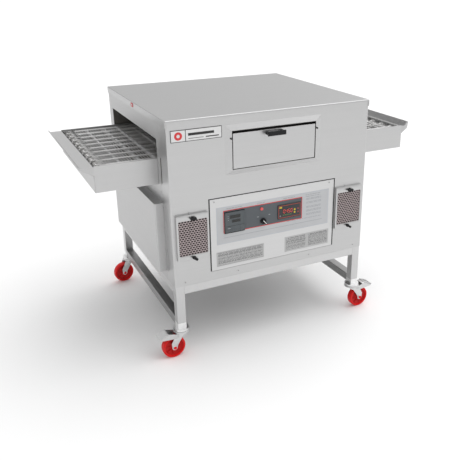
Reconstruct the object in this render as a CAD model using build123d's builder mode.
from build123d import *
import os

os.makedirs("parts", exist_ok=True)

# Frame: X along the belt (loading end to unloading end), Y front to back, Z up from the floor.
# cab_x / cab_y place the front left corner of the cabinet, so the whole box is centred on X and Y.
cab_x = -510.0
cab_y = -434.0
cab_w = 988.0          # cabinet width along the belt
cab_d = 910.0          # cabinet depth
cab_bot = 353.0        # underside of the cabinet
cab_top = 1098.0       # top of the cover
sheet = 2.0            # cabinet sheet steel
lip_h = 30.0           # side lip of the top cover
lip_out = 4.0          # how far that lip stands proud of the side panels
return_d = 92.0        # folded side return of the front panel

# baking tunnel
tun_y0 = 135.0
tun_y1 = 847.0
tun_z0 = 795.0
tun_z1 = 996.0
liner_y0 = 125.0
liner_y1 = 857.0
liner_z0 = 773.0
liner_z1 = 1002.0
liner_t = 1.5
wool = 40.0            # mineral wool thickness

# raised frame and drop-down access door
frame_x0 = 254.0
frame_x1 = 726.0
frame_z0 = 836.0
frame_z1 = 1054.0
door_x0 = 284.0
door_x1 = 697.0
door_z0 = 859.0
door_z1 = 1029.0
frame_h = 10.0         # height of the raised frame over the front panel
door_gap = 4.0         # side gap of the door in its frame
door_h = 155.0
hinge_y = -5.0
hinge_z = 867.0
hinge_r = 2.5

# control panel
pan_x0 = 177.0
pan_x1 = 812.0
pan_z0 = 396.0
pan_z1 = 736.0
ctrl = 96.0            # front of the temperature controller, a standard panel size
ctrl_x = 291.0
ctrl_z = 619.0
timer_w = 123.0
timer_h = 70.0
timer_x = 569.5
timer_z = 621.0
lamp_x = 426.0
lamp_z = 654.0
knob_x = 434.0
knob_z = 594.0

# filter boxes with air grilles on the front
gr_w = 148.0
gr_h = 210.0
gr_z = 585.0
gr_d = 14.0            # depth of the box
gr_t = 1.5             # its sheet thickness
gr_xs = (91.5, 895.0)
mesh_w = 132.0
mesh_h = 157.0
mesh_z = 581.5
latch_zs = (("lower", 489.0, 35.0), ("upper", 675.0, 0.0))   # height and tilt of the wing
fan_z = 577.0

# conveyor
con_x0 = -269.0        # left end of the side plates
con_x1 = 1309.0        # right end of the side plates
con_y0 = 137.0
con_y1 = 845.0
con_z0 = 797.0
con_z1 = 911.0
belt_r = 24.0          # outer radius of the belt over the end shafts
belt_t = 2.0
belt_z = 883.0         # height of the end shafts
belt_y0 = 152.0
belt_y1 = 830.0
drive_x = -240.0
idler_x = 1280.0
shaft_r = 8.0
run = 0.05             # running clearance of a shaft in its bore

# stand
tube = 40.0
tube_t = 2.0
leg_x = (24.0, 964.0)
leg_y = (20.0, 870.0)
leg_bot = 170.0
low_z0 = 150.0

# casters
wheel_r = 54.0
wheel_w = 32.0
trail = 42.0
axle_r = 6.0
caster_top = 143.0
crown_r = 38.0         # swivel crown of the fork
pivot_x = 26.0         # brake pedal pin, ahead of the swivel axis
pivot_z = 113.0


def slab(x0, x1, y0, y1, z0, z1, mode=Mode.ADD):
    """Block between cabinet coordinates: x from the left side, y from the front, z from the floor."""
    with Locations((cab_x + (x0 + x1) / 2, cab_y + (y0 + y1) / 2, (z0 + z1) / 2)):
        Box(x1 - x0, y1 - y0, z1 - z0, mode=mode)


def rod(axis, at, start, end, radius, mode=Mode.ADD):
    """Cylinder along X or Y in cabinet coordinates; at holds the two other coordinates."""
    mid = (start + end) / 2
    if axis == "x":
        place = Location((cab_x + mid, cab_y + at[0], at[1]), (0, 90, 0))
    else:
        place = Location((cab_x + at[0], cab_y + mid, at[1]), (90, 0, 0))
    with Locations(place):
        Cylinder(radius, end - start, mode=mode)


def save(part, name):
    part.label = name
    export_step(part, "parts/" + name + ".step")


# ---------------------------------------------------------------- cabinet shell

with BuildPart() as top_cover:
    slab(-lip_out, cab_w + lip_out, -sheet, cab_d, cab_top - lip_h, cab_top)
    fillet(top_cover.edges().filter_by(Axis.Z), 4)
    fillet(top_cover.faces().sort_by(Axis.Z)[-1].edges(), 4)
    slab(-2, cab_w + 2, 0, cab_d - sheet, cab_top - lip_h, cab_top - sheet, Mode.SUBTRACT)
    slab(4, cab_w - 4, -sheet, 0, cab_top - lip_h, cab_top - 8, Mode.SUBTRACT)
    slab(4, cab_w - 4, cab_d - sheet, cab_d, cab_top - lip_h, cab_top - 8, Mode.SUBTRACT)
save(top_cover.part, "top_cover")

with BuildPart() as front_panel:
    slab(0, cab_w, 0, return_d, cab_bot, cab_top - 4)
    fillet(front_panel.edges().filter_by(Axis.Z).group_by(Axis.Y)[0], 4)
    slab(sheet, cab_w - sheet, sheet, return_d, cab_bot, cab_top - 4, Mode.SUBTRACT)
    # ring behind the control panel cut-out carries the panel
    slab(pan_x0 - 12, pan_x1 + 12, sheet, 2 * sheet, pan_z0 - 12, pan_z1 + 12)
    slab(pan_x0 - 2, pan_x1 + 2, 0, sheet, pan_z0 - 2, pan_z1 + 2, Mode.SUBTRACT)
    slab(pan_x0 + 14, pan_x1 - 14, 0, 2 * sheet, pan_z0 + 14, pan_z1 - 14, Mode.SUBTRACT)
    # openings behind the air grilles, with holes for the latch pins
    for gx in gr_xs:
        slab(gx - 61, gx + 61, 0, sheet, mesh_z - 73, mesh_z + 73, Mode.SUBTRACT)
        for _, z, _ in latch_zs:
            rod("y", (gx, z), -1, 4, 6, Mode.SUBTRACT)
    # raised frame around the access door
    with BuildSketch(Plane.XZ.offset(-cab_y)) as frame_base:
        with Locations((cab_x + (frame_x0 + frame_x1) / 2, (frame_z0 + frame_z1) / 2)):
            Rectangle(frame_x1 - frame_x0, frame_z1 - frame_z0)
    with BuildSketch(Plane.XZ.offset(-cab_y + frame_h)) as frame_top:
        with Locations((cab_x + (door_x0 + door_x1) / 2, (door_z0 + door_z1) / 2)):
            Rectangle(door_x1 - door_x0 + 5, door_z1 - door_z0 + 5)
    loft(sections=[frame_base.sketch.face(), frame_top.sketch.face()])
    with BuildSketch(Plane.XZ.offset(-cab_y - sheet)) as hollow_base:
        with Locations((cab_x + (frame_x0 + frame_x1) / 2, (frame_z0 + frame_z1) / 2)):
            Rectangle(frame_x1 - frame_x0, frame_z1 - frame_z0)
    with BuildSketch(Plane.XZ.offset(-cab_y + frame_h - sheet)) as hollow_top:
        with Locations((cab_x + (door_x0 + door_x1) / 2, (door_z0 + door_z1) / 2)):
            Rectangle(door_x1 - door_x0 + 5, door_z1 - door_z0 + 5)
    loft(sections=[hollow_base.sketch.face(), hollow_top.sketch.face()], mode=Mode.SUBTRACT)
    slab(door_x0, door_x1, -frame_h, 2, door_z0, door_z1, Mode.SUBTRACT)
    for cx in (279, 702):
        rod("y", (cx, 997), -frame_h - 1, 4, 4, Mode.SUBTRACT)
save(front_panel.part, "front_panel")

with BuildPart() as left_panel:
    slab(0, sheet, return_d, cab_d - 2 * sheet, cab_bot, cab_top - 4)
    slab(0, sheet, tun_y0, tun_y1, tun_z0, tun_z1, Mode.SUBTRACT)
    slab(0, sheet, 94, 98, 803, 927, Mode.SUBTRACT)
    rod("x", (96, 885), 0, sheet, 5, Mode.SUBTRACT)
    with Locations(*[(cab_x + 1, cab_y + 420, z) for z in (430, 460, 490, 520, 550)]):
        Box(sheet, 420, 8, mode=Mode.SUBTRACT)
save(left_panel.part, "left_panel")

with BuildPart() as right_panel:
    slab(cab_w - sheet, cab_w, return_d, cab_d - 2 * sheet, cab_bot, cab_top - 4)
    slab(cab_w - sheet, cab_w, tun_y0, tun_y1, tun_z0, tun_z1, Mode.SUBTRACT)
    slab(cab_w - sheet, cab_w, 94, 98, 803, 927, Mode.SUBTRACT)
    rod("x", (96, 885), cab_w - sheet, cab_w, 5, Mode.SUBTRACT)
    with Locations(*[(cab_x + cab_w - 1, cab_y + y, z) for y in (330, 600) for z in range(430, 640, 22)]):
        Box(sheet, 180, 6, mode=Mode.SUBTRACT)
save(right_panel.part, "right_panel")

with BuildPart() as back_panel:
    slab(0, cab_w, cab_d - 2 * sheet, cab_d - sheet, cab_bot, cab_top - 4)
    with Locations(*[(cab_x + x, cab_y + cab_d - 3, z) for x in (260, 494, 728) for z in range(520, 700, 22)]):
        Box(170, sheet, 6, mode=Mode.SUBTRACT)
    # cut-out with a separate recess box for the mains inlet
    slab(805.9, 894.1, 862, cab_d, 375.9, 464.1, Mode.SUBTRACT)
    slab(806, 894, 862, cab_d - sheet, 376, 464)
    slab(808, 892, 864, cab_d - sheet, 378, 462, Mode.SUBTRACT)
    rod("y", (850, 420), 861, 865, 10.2, Mode.SUBTRACT)
save(back_panel.part, "back_panel")

with BuildPart() as base_pan:
    slab(sheet, cab_w - sheet, 2 * sheet, cab_d - 2 * sheet, cab_bot, cab_bot + sheet)
    with Locations(*[(cab_x + x, cab_y + 780, cab_bot + 1) for x in range(300, 700, 24)]):
        Box(8, 90, sheet, mode=Mode.SUBTRACT)
save(base_pan.part, "base_pan")

with BuildPart() as service_cover:
    slab(-41, 0, 90, 777, 402, 724)
    fillet(service_cover.edges().filter_by(Axis.Z).group_by(Axis.X)[0], 7)
    slab(-39, 0, 92, 775, 404, 722, Mode.SUBTRACT)
    slab(-sheet, 0, 74, 90, 402, 724)
    slab(-sheet, 0, 777, 793, 402, 724)
save(service_cover.part, "service_cover")

# ---------------------------------------------------------------- baking chamber

with BuildPart() as chamber_liner:
    slab(sheet, cab_w - sheet, liner_y0, liner_y1, liner_z0, liner_z1)
    slab(
        sheet,
        cab_w - sheet,
        liner_y0 + liner_t,
        liner_y1 - liner_t,
        liner_z0 + liner_t,
        liner_z1 - liner_t,
        Mode.SUBTRACT,
    )
    slab(door_x0 + 2, door_x1 - 2, liner_y0, liner_y0 + liner_t, door_z0 + 2, 998, Mode.SUBTRACT)
save(chamber_liner.part, "chamber_liner")

with BuildPart() as door_throat:
    slab(door_x0, door_x1, -9, liner_y0, door_z0, door_z1)
    slab(door_x0 + 2, door_x1 - 2, -9, 37, door_z0 + 2, door_z1 - 2, Mode.SUBTRACT)
    slab(door_x0 + 2, door_x1 - 2, -9, 3, door_z0, door_z0 + 2, Mode.SUBTRACT)
    slab(door_x0 + 16, door_x1 - 16, 37, 39, door_z0 + 16, door_z1 - 26, Mode.SUBTRACT)
    slab(door_x0 + 2, door_x1 - 2, 39, liner_y0 - 2, door_z0 + 2, door_z1 - 2, Mode.SUBTRACT)
    slab(door_x0 + 2, door_x1 - 2, liner_y0 - 2, liner_y0, door_z0 + 2, 998, Mode.SUBTRACT)
    # hinge pins of the access door
    rod("x", (hinge_y, hinge_z), door_x0 + 2, door_x0 + 13, hinge_r)
    rod("x", (hinge_y, hinge_z), door_x1 - 13, door_x1 - 2, hinge_r)
    # catch studs either side of the door, near its top
    for cx in (279, 702):
        rod("y", (cx, 997), -15, 4, 4)
save(door_throat.part, "door_throat")

with BuildPart() as insulation:
    slab(sheet, cab_w - sheet, liner_y0 - wool, liner_y1 + wool, liner_z0 - wool, liner_z1 + wool)
    slab(sheet, cab_w - sheet, liner_y0, liner_y1, liner_z0, liner_z1, Mode.SUBTRACT)
    slab(door_x0, door_x1, liner_y0 - wool, liner_y0, door_z0, door_z1, Mode.SUBTRACT)
save(insulation.part, "insulation")

with BuildPart() as heating_elements:
    for i in range(9):
        for z in (786, 975):
            rod("y", (94 + i * 100, z), liner_y0 + liner_t, liner_y1 - liner_t, 5)
save(heating_elements.part, "heating_elements")

# ---------------------------------------------------------------- access door

with BuildPart() as door_pan:
    slab(door_x0 + door_gap, door_x1 - door_gap, -frame_h, 30, door_z0 + 3, door_z0 + 3 + door_h)
    fillet(door_pan.faces().sort_by(Axis.Y)[0].edges(), 1.2)
    slab(door_x0 + 6, door_x1 - 6, -frame_h + 2, 30, door_z0 + 5, door_z0 + 1 + door_h, Mode.SUBTRACT)
    rod("x", (hinge_y, hinge_z), door_x0 + 5, door_x0 + 16, 4)
    rod("x", (hinge_y, hinge_z), door_x1 - 16, door_x1 - 5, 4)
    rod("x", (hinge_y, hinge_z), door_x0 + 3, door_x0 + 14, hinge_r + run, Mode.SUBTRACT)
    rod("x", (hinge_y, hinge_z), door_x1 - 14, door_x1 - 3, hinge_r + run, Mode.SUBTRACT)
save(door_pan.part, "door_pan")

with BuildPart() as door_liner:
    slab(door_x0 + 6, door_x1 - 6, 28, 30, door_z0 + 5, door_z0 + 1 + door_h)
save(door_liner.part, "door_liner")

with BuildPart() as door_gasket:
    slab(door_x0 + 8, door_x1 - 8, 30, 36, door_z0 + 7, door_z0 + door_h - 1)
    fillet(door_gasket.edges().filter_by(Axis.Y), 8)
    slab(door_x0 + 18, door_x1 - 18, 30, 36, door_z0 + 17, door_z0 + door_h - 11, Mode.SUBTRACT)
save(door_gasket.part, "door_gasket")

with BuildPart() as door_handle:
    slab(441, 527, -42, -34, 994, 1014)
    fillet(door_handle.edges().filter_by(Axis.X), 2.5)
    slab(443, 453, -35, -frame_h, 997, 1011)
    slab(515, 525, -35, -frame_h, 997, 1011)
save(door_handle.part, "door_handle")

# ---------------------------------------------------------------- control panel

with BuildPart() as control_panel:
    slab(pan_x0, pan_x1, -0.5, sheet, pan_z0, pan_z1)
    slab(ctrl_x - 46, ctrl_x + 46, -1, sheet, ctrl_z - 46, ctrl_z + 46, Mode.SUBTRACT)
    slab(timer_x - 57, timer_x + 57, -1, sheet, timer_z - 31, timer_z + 31, Mode.SUBTRACT)
    rod("y", (lamp_x, lamp_z), -1, sheet, 5.7, Mode.SUBTRACT)
    rod("y", (knob_x, knob_z), -1, sheet, 5, Mode.SUBTRACT)
save(control_panel.part, "control_panel")

with BuildPart() as control_overlay:
    slab(205, 785, -0.9, -0.5, 518, 694)
    slab(238, 639, -2, -0.9, 569, 676)
    slab(ctrl_x - 46, ctrl_x + 46, -2, -0.5, ctrl_z - 46, ctrl_z + 46, Mode.SUBTRACT)
    slab(timer_x - 57, timer_x + 57, -2, -0.5, timer_z - 31, timer_z + 31, Mode.SUBTRACT)
    rod("y", (lamp_x, lamp_z), -3, 0, 5.7, Mode.SUBTRACT)
    rod("y", (knob_x, knob_z), -3, 0, 5, Mode.SUBTRACT)
save(control_overlay.part, "control_overlay")

with BuildPart() as temperature_controller:
    slab(ctrl_x - ctrl / 2, ctrl_x + ctrl / 2, -10, -2, ctrl_z - ctrl / 2, ctrl_z + ctrl / 2)
    fillet(temperature_controller.edges().filter_by(Axis.Y), 3)
    fillet(temperature_controller.faces().sort_by(Axis.Y)[0].edges(), 1.5)
    slab(ctrl_x - 38, ctrl_x + 38, -10, -8.5, ctrl_z - 4, ctrl_z + 38, Mode.SUBTRACT)
    for i in range(4):
        with Locations((cab_x + ctrl_x - 30 + i * 20, cab_y - 10.2, ctrl_z - 34)):
            Box(13, 1.2, 7)
    slab(ctrl_x - 46, ctrl_x + 46, -2, 60, ctrl_z - 46, ctrl_z + 46)
save(temperature_controller.part, "temperature_controller")

with BuildPart() as belt_timer:
    slab(
        timer_x - timer_w / 2,
        timer_x + timer_w / 2,
        -6,
        -2,
        timer_z - timer_h / 2,
        timer_z + timer_h / 2,
    )
    fillet(belt_timer.edges().filter_by(Axis.Y), 2)
    slab(timer_x - 54, timer_x + 20, -6, -5, timer_z - 4, timer_z + 28, Mode.SUBTRACT)
    for i in range(4):
        with Locations((cab_x + timer_x - 42 + i * 18, cab_y - 6.4, timer_z - 20)):
            Box(11, 1.2, 8)
    slab(timer_x - 57, timer_x + 57, -2, 45, timer_z - 31, timer_z + 31)
save(belt_timer.part, "belt_timer")

with BuildPart() as pilot_lamp:
    rod("y", (lamp_x, lamp_z), -9, -2, 7)
    fillet(pilot_lamp.faces().sort_by(Axis.Y)[0].edges(), 3)
    rod("y", (lamp_x, lamp_z), -2, 26, 5.5)
save(pilot_lamp.part, "pilot_lamp")

with BuildPart() as selector_body:
    slab(knob_x - 16, knob_x + 16, sheet, 34, knob_z - 16, knob_z + 16)
    rod("y", (knob_x, knob_z), sheet - 1, 14, 3 + run, Mode.SUBTRACT)
save(selector_body.part, "selector_body")

with BuildPart() as selector_knob:
    rod("y", (knob_x, knob_z), -12, -3, 14)
    chamfer(selector_knob.faces().sort_by(Axis.Y)[0].edges(), 1)
    slab(knob_x - 4, knob_x + 4, -24, -12, knob_z - 13, knob_z + 13)
    fillet(selector_knob.faces().sort_by(Axis.Y)[0].edges(), 1.5)
    rod("y", (knob_x, knob_z), -3, 13, 3)
save(selector_knob.part, "selector_knob")

with BuildPart() as plates:
    slab(17, 242, -1.5, 0, 1006, 1056)
    slab(201, 439, -1, -0.5, 412, 482)
    slab(549, 791, -1, -0.5, 412, 488)
    slab(-5, -4, 438, 474, 1074, 1092)
save(plates.part, "plates")

# ---------------------------------------------------------------- air grilles and fans

for side, gx in zip(("left", "right"), gr_xs):
    with BuildPart() as grille:
        slab(gx - gr_w / 2, gx + gr_w / 2, -gr_d, 0, gr_z - gr_h / 2, gr_z + gr_h / 2)
        fillet(grille.edges().filter_by(Axis.Y), 3)
        fillet(grille.faces().sort_by(Axis.Y)[0].edges(), 1)
        slab(
            gx - gr_w / 2 + gr_t,
            gx + gr_w / 2 - gr_t,
            -gr_d + gr_t,
            0,
            gr_z - gr_h / 2 + gr_t,
            gr_z + gr_h / 2 - gr_t,
            Mode.SUBTRACT,
        )
        slab(
            gx - mesh_w / 2,
            gx + mesh_w / 2,
            -gr_d,
            -gr_d + gr_t,
            mesh_z - mesh_h / 2,
            mesh_z + mesh_h / 2,
            Mode.SUBTRACT,
        )
        slab(
            gx - mesh_w / 2 - 3,
            gx + mesh_w / 2 + 3,
            -gr_d + gr_t,
            -gr_d + gr_t + 1,
            mesh_z - mesh_h / 2 - 3,
            mesh_z + mesh_h / 2 + 3,
        )
        with BuildSketch(Plane.XZ.offset(-cab_y)):
            with Locations((cab_x + gx, mesh_z)):
                with GridLocations(12, 12, 11, 13):
                    Rectangle(9, 9)
        extrude(amount=gr_d, mode=Mode.SUBTRACT)
        for _, z, _ in latch_zs:
            rod("y", (gx, z), -gr_d, 0, 3 + run, Mode.SUBTRACT)
    save(grille.part, "grille_" + side)
    # quarter-turn latches: a wing on a pin with a tongue behind the front panel
    for level, z, tilt in latch_zs:
        with BuildPart() as latch:
            rod("y", (gx, z), -gr_d - 4, -gr_d - 0.3, 8)
            with Locations(Location((cab_x + gx, cab_y - gr_d - 10, z), (0, tilt, 0))):
                Box(27, 12, 8)
            fillet(latch.faces().sort_by(Axis.Y)[0].edges(), 1.5)
            rod("y", (gx, z), -gr_d - 0.3, 6, 3)
            slab(gx - 4, gx + 4, 3, 6, z - 4, z + 16)
        save(latch.part, "latch_" + side + "_" + level)

with BuildPart() as fan_housings:
    for gx in gr_xs:
        slab(gx - 60, gx + 60, 12, 37, fan_z - 60, fan_z + 60)
        rod("y", (gx, fan_z), 11, 38, 56, Mode.SUBTRACT)
        rod("y", (gx, fan_z), 31, 37, 22)
        with Locations(*[Location((cab_x + gx, cab_y + 34, fan_z), (0, a, 0)) for a in (20, 140, 260)]):
            with Locations((39, 0, 0)):
                Box(40, 4, 8)
        rod("y", (gx, fan_z), 15.5, 31, 2)
        for dx in (-52, 52):
            for dz in (-52, 52):
                slab(gx + dx - 4, gx + dx + 4, 37, 39, fan_z + dz - 4, fan_z + dz + 4)
    # shelf behind each fan holds it off the front panel
    for gx in gr_xs:
        slab(gx - 66, gx + 66, 39, 41, fan_z - 90, fan_z + 90)
        rod("y", (gx, fan_z), 39, 41, 55, Mode.SUBTRACT)
        slab(gx - 66, gx - 62, 2, 41, fan_z - 90, fan_z + 90)
        slab(gx + 62, gx + 66, 2, 41, fan_z - 90, fan_z + 90)
save(fan_housings.part, "fan_housings")

for side, gx in zip(("left", "right"), gr_xs):
    with BuildPart() as rotor:
        rod("y", (gx, fan_z), 14, 30.5, 21)
        for i in range(7):
            turn = Location((cab_x + gx, cab_y + 22, fan_z), (0, i * 360 / 7, 0))
            with Locations(turn * Location((36, 0, 0), (30, 0, 0))):
                Box(32, 2, 26)
        rod("y", (gx, fan_z), 15, 31, 2 + run, Mode.SUBTRACT)
    save(rotor.part, "fan_rotor_" + side)

# ---------------------------------------------------------------- electrical gear

with BuildPart() as electrical_tray:
    slab(250, 750, 300, 700, cab_bot + 2, cab_bot + 5)
    slab(270, 730, 500, 535, cab_bot + 5, cab_bot + 12)
    for i in range(4):
        slab(290 + i * 60, 335 + i * 60, 480, 560, cab_bot + 12, cab_bot + 92)
    slab(560, 700, 500, 540, cab_bot + 12, cab_bot + 60)
    slab(600, 710, 340, 440, cab_bot + 5, cab_bot + 95)
save(electrical_tray.part, "electrical_tray")

with BuildPart() as mains_gland:
    rod("y", (850, 420), 864, 870, 18)
    rod("y", (850, 420), 870, 894, 14)
    fillet(mains_gland.faces().sort_by(Axis.Y)[-1].edges(), 3)
    rod("y", (850, 420), 850, 864, 10)
    rod("y", (850, 420), 849, 895, 6, Mode.SUBTRACT)
save(mains_gland.part, "mains_gland")

with BuildPart() as cover_screws:
    for x, z in ((80, 696), (874, 696), (49, 371), (941, 371), (307, 371), (683, 371)):
        rod("y", (x, z), -2, 0, 4)
    for x, z in ((197, 724), (785, 724)):
        rod("y", (x, z), -2.5, -0.5, 4)
    for z in (420, 504, 613, 706):
        rod("x", (82, z), -4, -2, 4)
        rod("x", (785, z), -4, -2, 4)
    rod("x", (104, 771), -2, 0, 4)
save(cover_screws.part, "cover_screws")

# ---------------------------------------------------------------- conveyor

for side, y_out, y_in in (("front", con_y0, con_y0 + 2), ("back", con_y1 - 2, con_y1)):
    sign = 1 if side == "front" else -1
    inner = con_y0 + 2 if side == "front" else con_y1 - 2
    with BuildPart() as side_plate:
        slab(con_x0, con_x1, y_out, y_in, con_z0, con_z1)
        flange = sorted((inner, inner + sign * 20))
        hem = sorted((inner, inner + sign * 5))
        slab(con_x0, con_x1, flange[0], flange[1], con_z0, con_z0 + 2)
        slab(con_x0, con_x1, hem[0], hem[1], con_z1 - 2, con_z1)
        if side == "back":
            rod("y", (drive_x, belt_z), y_out - 1, y_in + 1, 10, Mode.SUBTRACT)
    save(side_plate.part, "conveyor_side_" + side)

with BuildPart() as belt:
    with BuildSketch(Plane.XZ.offset(-cab_y - belt_y0)) as loop_out:
        with Locations((cab_x + (drive_x + idler_x) / 2, belt_z)):
            SlotCenterToCenter(idler_x - drive_x, 2 * belt_r)
            SlotCenterToCenter(idler_x - drive_x, 2 * (belt_r - belt_t), mode=Mode.SUBTRACT)
    extrude(amount=-(belt_y1 - belt_y0))
save(belt.part, "belt")

# wear strips lying on cross rods, all separate pieces
with BuildPart() as belt_support:
    for x in (-147, -62, 11, 160, 310, 494, 678, 828, 977, 1050, 1135, 1210):
        rod("y", (x, 896.5), con_y0 + 2, con_y1 - 2, 4)
    for i in range(10):
        y = 171 + i * 71
        slab(-210, 1250, y - 8, y + 8, 900.6, 904.6)
save(belt_support.part, "belt_support")

for name, x, end in (("drive_shaft", drive_x, 882), ("idler_shaft", idler_x, 843)):
    with BuildPart() as shaft:
        rod("y", (x, belt_z), 139.5, end, shaft_r)
        for i in range(9):
            y = 190 + i * 75.25
            rod("y", (x, belt_z), y - 6, y + 6, 21.5)
            with Locations(*[Location((cab_x + x, cab_y + y, belt_z), (0, a, 0)) for a in range(0, 360, 45)]):
                with Locations((0, 0, 21)):
                    Cylinder(3, 14, rotation=(90, 0, 0), mode=Mode.SUBTRACT)
    save(shaft.part, name)

with BuildPart() as bearing_blocks:
    for x in (drive_x, idler_x):
        slab(x - 18, x + 18, con_y0 + 2, con_y0 + 12, belt_z - 18, belt_z + 18)
        slab(x - 18, x + 18, con_y1 - 12, con_y1 - 2, belt_z - 18, belt_z + 18)
        rod("y", (x, belt_z), con_y0 + 2, con_y0 + 12, shaft_r + run, Mode.SUBTRACT)
        rod("y", (x, belt_z), con_y1 - 12, con_y1 - 2, shaft_r + run, Mode.SUBTRACT)
save(bearing_blocks.part, "bearing_blocks")

with BuildPart() as drive_housing:
    slab(-260, -60, con_y1, 890, 799, 896)
    fillet(drive_housing.edges().filter_by(Axis.X).group_by(Axis.Y)[-1], 4)
    slab(-258, -62, con_y1, 888, 801, 894, Mode.SUBTRACT)
save(drive_housing.part, "drive_housing")

with BuildPart() as gearmotor:
    slab(-256, -196, con_y1, 886, 832, 893)
    rod("y", (drive_x, belt_z), con_y1 - 1, 884, shaft_r + run, Mode.SUBTRACT)
    rod("x", (867, 858), -196, -84, 20)
save(gearmotor.part, "gearmotor")

# loading lip at the left end: flat top, sloping underside, slightly raised outer edge
# unloading lip at the right end: sloping underside and an upright stop
left_outer = ((-269, 869), (-324, 900), (-332, 914), (-330, 915.5), (-320, 906.5), (-269, 906.5))
left_inner = ((-271, 872.5), (-321, 900.5), (-322, 904.5), (-271, 904.5))
right_outer = ((1309, 869), (1346, 895), (1352, 928.5), (1349.5, 928.5), (1344, 898), (1309, 904))
right_inner = ((1311, 872.8), (1343, 895.5), (1311, 901.5))
right_gusset = ((1309, 880), (1346, 895), (1352, 928.5), (1345, 928.5), (1329, 909), (1309, 911))
with BuildPart() as end_lips:
    for outline, y0, y1, mode in (
        (left_outer, con_y0, con_y1, Mode.ADD),
        (left_inner, con_y0 + 2, con_y1 - 2, Mode.SUBTRACT),
        (right_outer, con_y0, con_y1, Mode.ADD),
        (right_inner, con_y0 + 2, con_y1 - 2, Mode.SUBTRACT),
        (right_gusset, con_y0, con_y0 + 2, Mode.ADD),
        (right_gusset, con_y1 - 2, con_y1, Mode.ADD),
    ):
        with BuildSketch(Plane.XZ.offset(-cab_y - y0)):
            with BuildLine():
                Polyline(*[(cab_x + x, z) for x, z in outline], close=True)
            make_face()
        extrude(amount=-(y1 - y0), mode=mode)
save(end_lips.part, "end_lips")

for name, x_end, side in (("crumb_tray_left", con_x0, -1), ("crumb_tray_right", con_x1, 1)):
    with BuildPart() as tray:
        ends = sorted((x_end + side * 0.3, x_end + side * 2.3))
        floor = sorted((x_end + side * 0.3, x_end - side * 255))
        slab(ends[0], ends[1], con_y0 + 0.5, con_y1 - 0.5, 797.5, 867)
        slab(floor[0], floor[1], con_y0 + 3, con_y1 - 3, 799.3, 801.3)
        for y0 in (con_y0 + 3, con_y1 - 5):
            slab(floor[0], floor[1], y0, y0 + 2, 801.3, 825)
        inner_end = sorted((x_end - side * 253, x_end - side * 255))
        slab(inner_end[0], inner_end[1], con_y0 + 5, con_y1 - 5, 801.3, 815)
    save(tray.part, name)

# ---------------------------------------------------------------- stand


def tube_z(x, y, z0, z1):
    slab(x - tube / 2, x + tube / 2, y - tube / 2, y + tube / 2, z0, z1)


def bore_z(x, y, z0, z1):
    half = tube / 2 - tube_t
    slab(x - half, x + half, y - half, y + half, z0, z1, Mode.SUBTRACT)


with BuildPart() as stand_legs:
    for x in leg_x:
        for y in leg_y:
            tube_z(x, y, leg_bot, cab_bot)
    fillet(stand_legs.edges().filter_by(Axis.Z), 2)
    for x in leg_x:
        for y in leg_y:
            bore_z(x, y, leg_bot, cab_bot)
save(stand_legs.part, "stand_legs")

with BuildPart() as stand_rails:
    for y in leg_y:
        slab(44, 944, y - 19, y + 19, cab_bot - tube, cab_bot)
    for x in leg_x:
        slab(x - 20, x + 20, 40, 850, cab_bot - tube, cab_bot)
        slab(x - 20, x + 20, 40, 850, low_z0, low_z0 + tube)
    fillet(stand_rails.edges().filter_by(Axis.X), 2)
    fillet(stand_rails.edges().filter_by(Axis.Y).filter_by(lambda e: e.length > 500), 2)
    for y in leg_y:
        slab(44, 944, y - 17, y + 17, cab_bot - 38, cab_bot - 2, Mode.SUBTRACT)
    for x in leg_x:
        slab(x - 18, x + 18, 40, 850, cab_bot - 38, cab_bot - 2, Mode.SUBTRACT)
        slab(x - 18, x + 18, 40, 850, low_z0 + 2, low_z0 + 38, Mode.SUBTRACT)
save(stand_rails.part, "stand_rails")

# ---------------------------------------------------------------- casters

with BuildPart() as caster_mounts:
    for x in leg_x:
        for y in leg_y:
            tube_z(x, y, caster_top, leg_bot)
            with Locations((cab_x + x, cab_y + y, caster_top - 4.5)):
                Cylinder(crown_r - 2, 9)
            with Locations((cab_x + x, cab_y + y, 143)):
                Cylinder(axle_r + run, 22, mode=Mode.SUBTRACT)
save(caster_mounts.part, "caster_mounts")

with BuildPart() as fork_plain:
    with Locations((0, 0, 128.75)):
        Cylinder(crown_r, 9.5)
    with Locations((0, 0, 142)):
        Cylinder(axle_r, 20)
    for y0 in (18.5, -21.5):
        with BuildSketch(Plane.XZ.offset(-y0)):
            with BuildLine():
                Polyline(
                    (-21, 132),
                    (24, 132),
                    (34, 118),
                    (54, 62),
                    (55, 50),
                    (47, 41),
                    (36, 42),
                    (30, 50),
                    (8, 100),
                    (-21, 116),
                    close=True,
                )
            make_face()
        extrude(amount=-3)
    with Locations((1.5, 0, 124)):
        Box(45, 43, 8)
    with Locations((trail, 0, wheel_r)):
        Cylinder(axle_r, 54, rotation=(90, 0, 0))
        with Locations((0, 24.25, 0), (0, -24.25, 0)):
            Cylinder(9, 5.5, rotation=(90, 0, 0))

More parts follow.
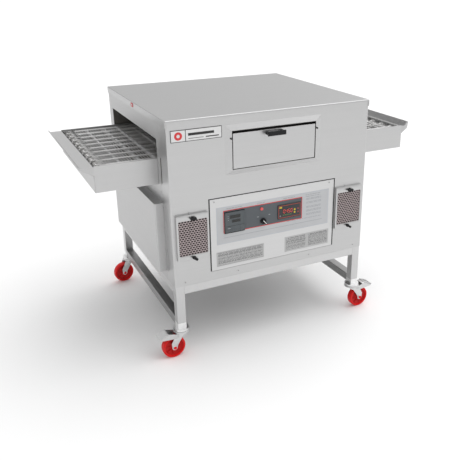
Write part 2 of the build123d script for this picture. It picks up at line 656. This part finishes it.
with BuildPart() as fork_braked:
    add(fork_plain.part)
    with Locations((pivot_x, 0, pivot_z)):
        Cylinder(4 + run, 60, rotation=(90, 0, 0), mode=Mode.SUBTRACT)

# brake pedal: two side arms on a pin, a shoe over the wheel and a sloping tread plate
pedal_arm = (
    (19, 117),
    (19, 109),
    (26, 103),
    (35, 100.5),
    (104, 107),
    (110, 111),
    (110, 119),
    (72, 134),
    (66, 130),
    (34, 122.5),
    (24, 121),
)
pedal_tread = ((68, 131), (70, 135), (74, 135.5), (114, 117), (113, 112), (109, 112))
with BuildPart() as pedal:
    with Locations((pivot_x, 0, pivot_z)):
        Cylinder(4, 50, rotation=(90, 0, 0))
    with Locations((56, 0, 115)):
        Box(32, 50, 3)
    for outline, start, width in ((pedal_arm, 25, 3), (pedal_arm, -22, 3), (pedal_tread, 25, 50)):
        with BuildSketch(Plane.XZ.offset(-start)):
            with BuildLine():
                Polyline(*outline, close=True)
            make_face()
        extrude(amount=width)

with BuildPart() as wheel:
    with BuildSketch(Plane.XZ) as wheel_profile:
        with BuildLine():
            Polyline(
                (axle_r + run, -18),
                (14, -18),
                (15, -9),
                (40, -7),
                (44, -wheel_w / 2),
                (51, -wheel_w / 2),
                (wheel_r, -wheel_w / 2 + 4),
                (wheel_r, wheel_w / 2 - 4),
                (51, wheel_w / 2),
                (44, wheel_w / 2),
                (40, 7),
                (15, 9),
                (14, 18),
                (axle_r + run, 18),
                close=True,
            )
        make_face()
    revolve(axis=Axis.Z)

casters = (
    ("front_left", leg_x[0], leg_y[0], 182.0, True),
    ("front_right", leg_x[1], leg_y[0], 2.0, True),
    ("back_left", leg_x[0], leg_y[1], 187.0, False),
    ("back_right", leg_x[1], leg_y[1], 352.0, False),
)
for name, x, y, angle, braked in casters:
    place = Location((cab_x + x, cab_y + y, 0), (0, 0, angle))
    fork = (fork_braked if braked else fork_plain).part.moved(place)
    save(fork, "caster_fork_" + name)
    rolled = wheel.part.moved(place * Location((trail, 0, wheel_r), (90, 0, 0)))
    save(rolled, "caster_wheel_" + name)
    if braked:
        save(pedal.part.moved(place), "brake_pedal_" + name)
